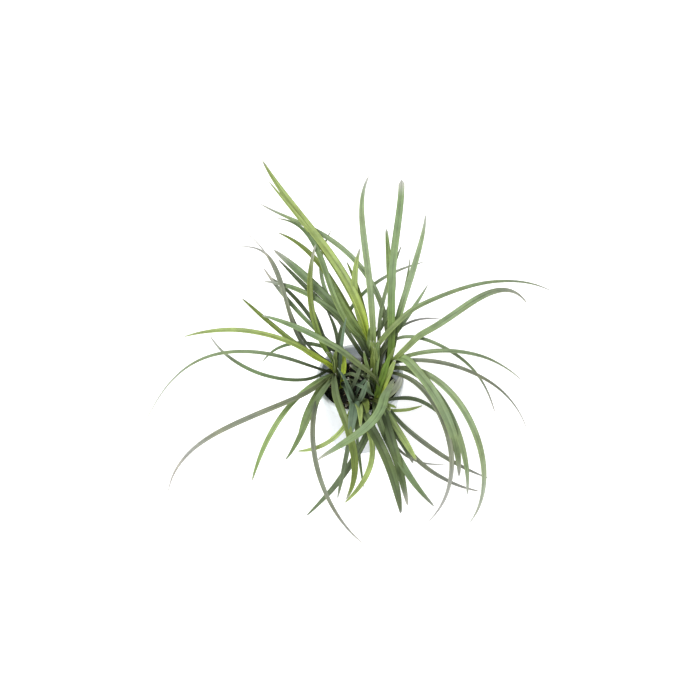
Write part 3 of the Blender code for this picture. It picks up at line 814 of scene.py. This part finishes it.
def leaf_surface(line, split, grown, twist, looks):
    """A strap with a channel above, a keel below and thin rounded margins, as a closed grid of points.

    Across the strap a point at u from -1 to 1 is the keel's point + side * half * u * cos(fold)
    + face * half * (sqrt(u^2 + round^2) - round) * sin(fold), and the skins lie above and below it by
    half of the thickness * (1 - u^4) ^ 0.5. The fold eases from the wrapped sheath to the flat blade,
    and the margins rise and fall by a slow wave * u^2.
    """
    share = np.linspace(0.0, 1.0, len(line))
    blade = np.clip((share - split) / (1 - split), 0.0, 1.0)
    side, face = blade_frame(line, twist * ease(blade * TWIST_RATE))
    grow = grown.slim + (1 - grown.slim) * np.minimum(1.0, blade / WIDEST_FROM)
    run = np.clip((blade - grown.taper) / (1 - grown.taper), 0.0, 1.0)
    half = HALF_WIDTH * grown.width * grow * (1 - (1 - grown.tip) * run ** NARROWING)
    close = np.clip((blade - CLOSING_FROM) / (1 - CLOSING_FROM), 0.0, 1.0)
    half = half * (1 - CLOSED * close ** 2)
    base = 1 - ease(blade / UNWRAPPED_FROM)
    half = half + (np.maximum(half, WRAPPED_HALF * grown.slim) - half) * base
    fold = looks.channel + (looks.wrap - looks.channel) * base
    thick = looks.thickness + (looks.tip_thickness - looks.thickness) * share
    skin = np.sqrt(1 - ACROSS ** 4)
    rise = np.sqrt(ACROSS ** 2 + KEEL_ROUND ** 2) - KEEL_ROUND
    wave = WAVE * np.sin(share * WAVE_RATE + grown.width * WAVE_START)
    reach = (half * np.cos(fold))[:, None] * ACROSS
    lift = (half * np.sin(fold))[:, None] * rise + (half * wave)[:, None] * ACROSS ** 2
    middle = line[:, None, :] + side[:, None, :] * reach[..., None] + face[:, None, :] * lift[..., None]
    proud = face[:, None, :] * (thick[:, None] / 2 * skin)[..., None]
    inner = slice(len(ACROSS) - 2, 0, -1)
    points = np.concatenate((middle + proud, (middle - proud)[:, inner]), axis=1)[:, ::-1]
    across = np.concatenate((ACROSS, ACROSS[inner]))[::-1] / 2 + 0.5
    return points, across, blade


def leaf_tint(grown, blade, strength, looks):
    """The leaf's colour on its grid: its base's colour, its own green, a faded tip and a paler back."""
    green = np.array(getattr(looks, grown.tone))
    low = np.array(getattr(looks, grown.base))
    # Towards the crown the blade turns to its base's colour; for the base tone "shade" that is painted
    # shade
    base = (1 - ease(blade / grown.reach))[:, None]
    fade = max(SHORTEST_FADE, 1 + SHORTEST_FADE - grown.fade)
    end = ease((blade - grown.fade) / fade)[:, None] * strength
    tint = green * (1 - base) + low * base
    tint = tint * (1 - end) + np.array(looks.faded) * end
    back = np.concatenate((np.ones(len(ACROSS) - 2), np.zeros(len(ACROSS))))[None, :, None]
    pale = tint * BACK_TINT + BACK_PALING
    return tint[:, None, :] * (1 - back) + pale[:, None, :] * back


def sheath_surface(foot, crown, looks):
    """The wrapped core of a crown: a tube with shallow folds, upright in its hole, then leaning.

    Its radius at an angle a is the sheaths' radius * (core + depth * cos(5 a + 2 s)), s being the share
    of its height, and it narrows to its neck and closes at the top by sqrt(1 - 0.9 s^8).
    """
    share = np.linspace(0.0, 1.0, SHEATH_ROWS)
    angle = np.linspace(0.0, math.tau, SHEATH_SIDES, endpoint=False)
    start = on_sheath(foot, crown, 0.0)
    climb = (crown - start) * share[1:, None] * SHEATH_REACH
    line = np.concatenate(((start - UP * HOLE_DEPTH * PLUG_SHARE)[None, :], start + climb))
    radius = SHEATH_RADIUS * (1 - (1 - SHEATH_NECK) * share) * np.sqrt(1 - share ** 8 * 0.9)
    folds = SHEATH_CORE + FOLD_DEPTH * np.cos(FOLDS * angle[None, :] + 2 * share[:, None])
    ring = np.stack((np.cos(angle), np.sin(angle), np.zeros_like(angle)), axis=-1)
    points = line[:, None, :] + ring[None] * (radius[:, None] * folds)[..., None]
    husk = (1 - ease(share / HUSK_SHARE))[:, None, None]
    tint = np.array(looks.drab) * (1 - husk) + np.array(looks.husk) * husk
    return points, angle / math.tau, share, np.broadcast_to(tint, points.shape)


def outwards(angle):
    """The level direction at an angle from +X."""
    return np.array((math.cos(angle), math.sin(angle), 0.0))


def young_leaves(foot, crown, count, draw):
    """Short leaves that carry on along the sheaths' axis, each leaning a little to its own side."""
    axis = unit(crown - on_sheath(foot, crown, 0.0))
    start = draw.uniform(0.0, math.tau)
    for index in range(count):
        out = outwards(start + index * GOLDEN_ANGLE)
        length = draw.uniform(*YOUNG_LENGTHS)
        root = on_sheath(foot, crown, HIGH_LEAF_SHARE)
        end = root + axis * length + out * length * YOUNG_SPREAD
        middle = root + axis * length / 2 + out * length * YOUNG_SPREAD * YOUNG_BOW
        low = [(on_sheath(foot, crown, share) + out * MM) / MM for share in (0.0, 0.5, 0.8)]
        yield Leaf(("mid", "fresh")[index % 2], YOUNG_WIDTH / MM, middle / MM, end / MM, base="olive",
                   slim=0.6, low=low)


def husks(foot, crown, chance):
    """Dry strips of old sheath round the foot of a crown, evenly spread and leaning a little outwards."""
    start = on_sheath(foot, crown, 0.0) / MM
    axis = unit(crown / MM - start)
    for index in range(HUSKS):
        out = outwards(index * GOLDEN_ANGLE)
        length = chance.uniform(*HUSK_LENGTHS)
        low = start - UP + out * HUSK_FOOT
        middle = start + axis * length * 0.5 + out * HUSK_SPREAD[0]
        end = start + axis * length + out * chance.uniform(*HUSK_SPREAD)
        yield Leaf("husk", chance.uniform(*HUSK_WIDTHS), middle, end, low=[low])


class Skin:
    """Grids of points gathered into one mesh, each with its texture place, tint and leaf number."""

    def __init__(self):
        self.points, self.faces, self.places, self.tints, self.numbers = [], [], [], [], []
        self.total = 0

    def add(self, points, across, along, tint, number):
        rows, columns = points.shape[:2]
        self.faces += sheet_faces(rows, columns, self.total).tolist()
        ring = np.arange(columns)
        self.faces.append((self.total + ring[::-1]).tolist())
        self.faces.append((self.total + (rows - 1) * columns + ring).tolist())
        self.points.append(points.reshape(-1, 3))
        place = np.stack(np.broadcast_arrays(across[None, :], along[:, None]), axis=-1)
        self.places.append(place.reshape(-1, 2))
        self.tints.append(tint.reshape(-1, 3))
        self.numbers.append(np.full(rows * columns, number))
        self.total += rows * columns

    def piece(self, name, material, slot):
        """The mesh, with its UV map "blade" and its attributes "tint" and "number"."""
        made = new_piece(name, np.concatenate(self.points), self.faces, material)
        mesh = made.data
        corners = np.zeros(len(mesh.loops), dtype=np.int32)
        mesh.loops.foreach_get("vertex_index", corners)
        places = np.concatenate(self.places)[corners]
        mesh.uv_layers.new(name="blade").data.foreach_set("uv", places.ravel().astype(np.float32))
        tints = np.concatenate(self.tints)
        tints = np.concatenate((tints, np.ones((len(tints), 1))), axis=1).astype(np.float32)
        mesh.attributes.new("tint", "FLOAT_COLOR", "POINT").data.foreach_set("color", tints.ravel())
        numbers = np.concatenate(self.numbers).astype(np.float32)
        mesh.attributes.new("number", "FLOAT", "POINT").data.foreach_set("value", numbers)
        return made


def build_tuft(name, material, draw, chance, looks):
    """One crown as one piece: its sheaths, its leaves, its young leaves and its husks."""
    foot, crown, slot, count = CROWNS[name]
    foot, crown = np.array(foot) * MM, np.array(crown) * MM
    skin = Skin()
    skin.add(*sheath_surface(foot, crown, looks), 0.0)
    young = young_leaves(foot, crown, count, draw)
    for index, grown in enumerate((*LEAVES[name], *young, *husks(foot, crown, chance))):
        line, split = leaf_line(foot, crown, grown, looks)
        twist = chance.uniform(-looks.twist, looks.twist)
        surface, across, blade = leaf_surface(line, split, grown, twist, looks)
        tint = leaf_tint(grown, blade, chance.uniform(*FADE_STRENGTHS), looks)
        tint = tint * chance.uniform(*BRIGHTNESSES)
        skin.add(surface, across, blade, tint, float(index + 1))
    return skin.piece(name + "_leaves", material, slot)


def turned_points(profile, steps):
    """A profile of (radius, height) pairs turned about Z, as a grid of points."""
    profile = np.array(profile)
    angle = np.linspace(0.0, math.tau, steps, endpoint=False)
    ring = np.stack((np.cos(angle), np.sin(angle)), axis=-1)
    flat = profile[:, :1, None] * ring[None]
    height = np.broadcast_to(profile[:, 1:, None], (len(profile), steps, 1))
    return np.concatenate((flat, height), axis=-1)


def rounded(corner, radius, start, end, count=6):
    """Points of a quarter round about a centre from one angle in degrees to another."""
    angle = np.linspace(math.radians(start), math.radians(end), count)
    return [(corner[0] + radius * math.cos(a), corner[1] + radius * math.sin(a)) for a in angle]


def soil_height(x, y, looks):
    """The soil's surface: a low mound with the sum of four crossed waves and a rise at each crown.

    At a share r of the soil's radius the mound is its height * (1 - r^2), and the surface falls by the
    slump * ease((r - from) / (1 - from)). The rise is a ring round each crown's foot, its height
    * exp(-((d - radius) / width)^2) at a distance d.
    """
    radius = np.hypot(x, y) / SOIL_RADIUS
    slump = looks.slump * ease((radius - SLUMP_FROM) / (1 - SLUMP_FROM))
    height = SOIL_TOP + MOUND * (1 - radius ** 2) - slump
    waves = (np.sin(x * 900) * np.cos(y * 1100 + x * 300), np.sin(x * 2100 + y * 700 + 1.0),
             np.cos(y * 2600 - x * 1500 + 2.0), np.sin(x * 4300 + 0.5) * np.sin(y * 3900))
    height = height + looks.relief * (0.5 * waves[0] + 0.25 * waves[1] + 0.2 * waves[2] + 0.2 * waves[3])
    for foot, *_ in CROWNS.values():
        distance = np.hypot(x - foot[0] * MM, y - foot[1] * MM)
        height = height + CROWN_RISE * np.exp(-((distance - RISE_RADIUS) / RISE_WIDTH) ** 2)
    return height


def scattered(draw, count, margin):
    """Random places, even over the soil's disc and a margin away from its edge."""
    angle = draw.uniform(0.0, math.tau, count)
    radius = np.sqrt(draw.uniform(0.0, 1.0, count)) * (SOIL_RADIUS - margin)
    return radius * np.cos(angle), radius * np.sin(angle)


def repeated(faces, count, corners):
    """The same faces for each of a count of equal parts with that many corner points."""
    starts = (np.arange(count) * corners)[:, None, None]
    return (faces[None] + starts).reshape(-1, faces.shape[1]).tolist()


# Operators

class MONDO_OT_pot(bpy.types.Operator):
    """Builds the moulded pot with its rim band, rounded edges and four drain holes"""

    bl_idname = "mondo.pot"
    bl_label = "Pot"

    def execute(self, context):
        looks = context.scene.mondo_pot
        band, height, foot = looks.rim_radius, looks.height, looks.foot_radius
        slope = wall_slope(looks)
        band_foot = height - looks.band_height

        def outer(z):
            return foot + slope * z

        lip = WALL / 2
        corner = (outer(looks.floor) - WALL - EDGE_ROUND, looks.floor + EDGE_ROUND)
        profile = [(FLAT_SHARE * foot, looks.floor)]
        profile += rounded(corner, EDGE_ROUND, start=-90, end=0)
        profile += [(outer(z) - WALL, z) for z in INNER_LEVELS]
        profile += rounded((outer(height - lip) - WALL + lip, height - lip), lip, start=180, end=90)
        profile += rounded((band - lip, height - lip), lip, start=90, end=0)
        profile += rounded((band - lip * BAND_TUCK, band_foot + lip), lip, start=0, end=-90)
        profile += [(outer(band_foot) + HAIR, band_foot - HAIR)]
        profile += [(outer(z), z) for z in OUTER_LEVELS]
        profile += rounded((foot + HAIR - EDGE_ROUND, EDGE_ROUND), EDGE_ROUND, start=0, end=-90)
        profile += [(FLAT_SHARE * foot, 0.0)]
        points, faces = capped(turned_points(profile, looks.steps), (0, 0, looks.floor), (0, 0, 0))
        pot = new_piece("pot_plastic", points, faces, plastic_finish(looks))
        self.drain(pot, looks)
        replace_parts(pot, "pot")
        return {"FINISHED"}

    def drain(self, pot, looks):
        """Cuts the four holes through the floor, and points the faces outwards."""
        shape = bmesh.new()
        shape.from_mesh(pot.data)
        bmesh.ops.recalc_face_normals(shape, faces=shape.faces)
        shape.to_mesh(pot.data)
        shape.free()
        shape = bmesh.new()
        for index in range(DRAIN_HOLES):
            hole = bmesh.ops.create_cone(shape, cap_ends=True, segments=32, radius1=DRAIN_RADIUS,
                                         radius2=DRAIN_RADIUS, depth=4 * looks.floor)
            place = outwards(math.tau * (index + 0.5) / DRAIN_HOLES) * DRAIN_PLACE + UP * looks.floor / 2
            bmesh.ops.translate(shape, verts=hole["verts"], vec=place)
        mesh = bpy.data.meshes.new("drain_cutter")
        shape.to_mesh(mesh)
        shape.free()
        cutter = placed("drain_cutter", mesh)
        cut = pot.modifiers.new("Drain", "BOOLEAN")
        cut.operation = "DIFFERENCE"
        cut.solver = "EXACT"
        cut.object = cutter
        graph = bpy.context.evaluated_depsgraph_get()
        made = bpy.data.meshes.new_from_object(pot.evaluated_get(graph))
        pot.modifiers.clear()
        pot.data = made
        bpy.data.objects.remove(cutter, do_unlink=True)


class MONDO_OT_soil(bpy.types.Operator):
    """Builds the potting mix that fills the pot, with its lumpy surface"""

    bl_idname = "mondo.soil"
    bl_label = "Soil"

    def execute(self, context):
        looks = context.scene.mondo_soil
        pot = context.scene.mondo_pot
        edge = SOIL_TOP - looks.slump
        foot, reach = (pot.foot_radius + wall_slope(pot) * z - WALL - GAP for z in (SOIL_FOOT, edge))
        angle = np.linspace(0.0, math.tau, SOIL_SIDES, endpoint=False)
        radius = np.linspace(0.0, 1.0, SOIL_ROWS)[1:, None] * reach
        x, y = radius * np.cos(angle), radius * np.sin(angle)
        top = np.stack((x, y, np.minimum(soil_height(x, y, looks), SOIL_PEAK)), axis=-1)
        side = ((reach, edge - SOIL_EDGE), (foot, SOIL_FOOT), (foot / 2, SOIL_FOOT))
        grid = np.concatenate((top, turned_points(side, SOIL_SIDES)))
        middle = float(soil_height(np.zeros(1), np.zeros(1), looks)[0])
        points, faces = capped(grid, (0, 0, middle), (0, 0, SOIL_FOOT))
        soil = new_piece("soil_mix", points, [face[::-1] for face in faces], soil_finish(looks))
        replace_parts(soil, "soil")
        return {"FINISHED"}


class MONDO_OT_crumbs(bpy.types.Operator):
    """Scatters loose crumbs and dry fibres over the soil"""

    bl_idname = "mondo.crumbs"
    bl_label = "Crumbs"

    def execute(self, context):
        """Each crumb is a small ball with its corners moved in or out and each axis stretched."""
        looks = context.scene.mondo_soil
        draw = np.random.default_rng(SEED + 1)
        shape = bmesh.new()
        bmesh.ops.create_icosphere(shape, subdivisions=1, radius=1.0)
        ball = np.array([vertex.co for vertex in shape.verts])
        sides = np.array([[vertex.index for vertex in face.verts] for face in shape.faces])
        shape.free()
        count = looks.crumbs
        x, y = scattered(draw, count, CRUMB_MARGIN)
        size = looks.crumb_size * draw.uniform(*CRUMB_SIZES, (count, 1, 1))
        lumps = ball[None] * (1 + draw.uniform(-CRUMB_DENT, CRUMB_DENT, (count, len(ball), 1)))
        lumps = lumps * size * draw.uniform(*CRUMB_STRETCH, (count, 1, 3))
        place = np.stack((x, y, soil_height(x, y, looks)), axis=-1)[:, None, :]
        new_piece("soil_crumbs", (lumps + place).reshape(-1, 3), repeated(sides, count, len(ball)),
                  soil_finish(looks))
        self.fibres(looks, draw)
        return {"FINISHED"}

    def fibres(self, looks, draw):
        """Thin dry strips: a short bowed line with a diamond section, lying on the surface.

        At s from -1/2 to 1/2 the line bows sideways by length * bow * (s^2 - 1/4), and the section's
        half width is its middle value * sqrt(blunt - (2 s)^2).
        """
        count = looks.fibres
        start = np.stack(scattered(draw, count, FIBRE_MARGIN), axis=-1)[:, None, :]
        turn = draw.uniform(0.0, math.tau, count)
        length = draw.uniform(*FIBRE_LENGTHS, count)
        bow = draw.uniform(-FIBRE_BOW, FIBRE_BOW, count)
        step = np.linspace(-0.5, 0.5, FIBRE_STEPS)
        along = np.stack((np.cos(turn), np.sin(turn)), axis=-1)[:, None, :]
        beside = np.stack((-np.sin(turn), np.cos(turn)), axis=-1)[:, None, :]
        flat = start + along * (length[:, None] * step)[..., None]
        flat = flat + beside * ((length * bow)[:, None] * (step ** 2 - 0.25))[..., None]
        height = soil_height(flat[..., 0], flat[..., 1], looks) + FIBRE_LIFT
        line = np.concatenate((flat, height[..., None]), axis=-1)
        half = (FIBRE_HALF * np.sqrt(BLUNT_ENDS - (2 * step) ** 2))[None, :, None]
        across = np.concatenate((beside, np.zeros((count, 1, 1))), axis=-1) * half
        upright = UP * half * FIBRE_FLATNESS
        ring = np.stack((line - across, line - upright, line + across, line + upright), axis=2)
        last = 4 * (FIBRE_STEPS - 1)
        ends = ((3, 2, 1, 0), (last, last + 1, last + 2, last + 3))
        strip = np.concatenate((sheet_faces(FIBRE_STEPS, 4), ends))
        new_piece("soil_fibres", ring.reshape(-1, 3), repeated(strip, count, 4 * FIBRE_STEPS),
                  fibre_finish())


class MONDO_OT_tufts(bpy.types.Operator):
    """Builds the five tufts: wrapped sheaths, arching strap leaves and young leaves"""

    bl_idname = "mondo.tufts"
    bl_label = "Tufts"

    def execute(self, context):
        looks = context.scene.mondo_leaf
        material = leaf_finish(looks)
        draw = np.random.default_rng(SEED)
        chance = np.random.default_rng(SEED + 2)
        for name in CROWNS:
            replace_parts(build_tuft(name, material, draw, chance, looks), name)
        return {"FINISHED"}


class MONDO_OT_stage(bpy.types.Operator):
    """Sets out the pale floor, the soft lights and the camera"""

    bl_idname = "mondo.stage"
    bl_label = "Stage"

    def execute(self, context):
        looks = context.scene.mondo_stage
        scene = context.scene
        half = looks.floor_size / 2
        mesh = bpy.data.meshes.new("floor")
        mesh.from_pydata([(-half, -half, 0), (half, -half, 0), (half, half, 0), (-half, half, 0)], [],
                         [(0, 1, 2, 3)])
        mesh.materials.append(floor_finish(looks))
        floor = placed("floor", mesh)
        floor.location.z = -FLOOR_DROP
        target = np.array(looks.target)
        back = np.array((0.0, -math.cos(looks.elevation), math.sin(looks.elevation)))
        lens = bpy.data.cameras.new("camera")
        lens.lens = looks.lens
        lens.sensor_width = 36.0
        camera = placed("camera", lens)
        camera.location = target + back * looks.distance
        camera.rotation_euler = (math.pi / 2 - looks.elevation, 0.0, 0.0)
        scene.camera = camera
        self.lamp("key", looks.key, side=0.8, place=(-0.55, -0.30, 1.05), target=target)
        self.lamp("fill", looks.fill, side=0.9, place=(0.8, -0.2, 0.8), target=target)
        world = bpy.data.worlds.new("even light")
        world.use_nodes = True
        sky = world.node_tree.nodes["Background"]
        sky.inputs["Color"].default_value = (1.0, 1.0, 1.0, 1.0)
        sky.inputs["Strength"].default_value = looks.sky
        scene.world = world
        scene.view_settings.view_transform = "Standard"
        return {"FINISHED"}

    def lamp(self, name, power, side, place, target):
        """A square soft light that faces the target."""
        light = bpy.data.lights.new(name, "AREA")
        light.energy = power
        light.size = side
        lamp = placed(name, light)
        lamp.location = place
        away = unit(np.array(place) - target)
        lamp.rotation_euler = (math.acos(away[2]), 0.0, math.atan2(away[1], away[0]) + math.pi / 2)


class MONDO_PT_looks(bpy.types.Panel):
    """Lists the pieces and their sizes and colours"""

    bl_idname = "MONDO_PT_looks"
    bl_label = "Mondo grass"
    bl_space_type = "VIEW_3D"
    bl_region_type = "UI"
    bl_category = "Mondo grass"

    def draw(self, context):
        for operator, group, properties in PIECES:
            box = self.layout.box()
            box.operator(operator.bl_idname)
            for name in properties.__annotations__:
                box.prop(getattr(context.scene, group), name)


PIECES = (
    (MONDO_OT_pot, "mondo_pot", PotLooks),
    (MONDO_OT_soil, "mondo_soil", SoilLooks),
    (MONDO_OT_crumbs, "mondo_soil", SoilLooks),
    (MONDO_OT_tufts, "mondo_leaf", LeafLooks),
    (MONDO_OT_stage, "mondo_stage", StageLooks),
)
GROUPS = {group: properties for _, group, properties in PIECES}


def register():
    for group, properties in GROUPS.items():
        bpy.utils.register_class(properties)
        setattr(bpy.types.Scene, group, PointerProperty(type=properties))
    for operator, _, _ in PIECES:
        bpy.utils.register_class(operator)
    bpy.utils.register_class(MONDO_PT_looks)


def unregister():
    bpy.utils.unregister_class(MONDO_PT_looks)
    for operator, _, _ in reversed(PIECES):
        bpy.utils.unregister_class(operator)
    for group, properties in GROUPS.items():
        delattr(bpy.types.Scene, group)
        bpy.utils.unregister_class(properties)


def main():
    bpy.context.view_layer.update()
    register()
    bpy.ops.mondo.pot()
    bpy.ops.mondo.soil()
    bpy.ops.mondo.crumbs()
    bpy.ops.mondo.tufts()
    bpy.ops.mondo.stage()


if __name__ == "__main__":
    main()
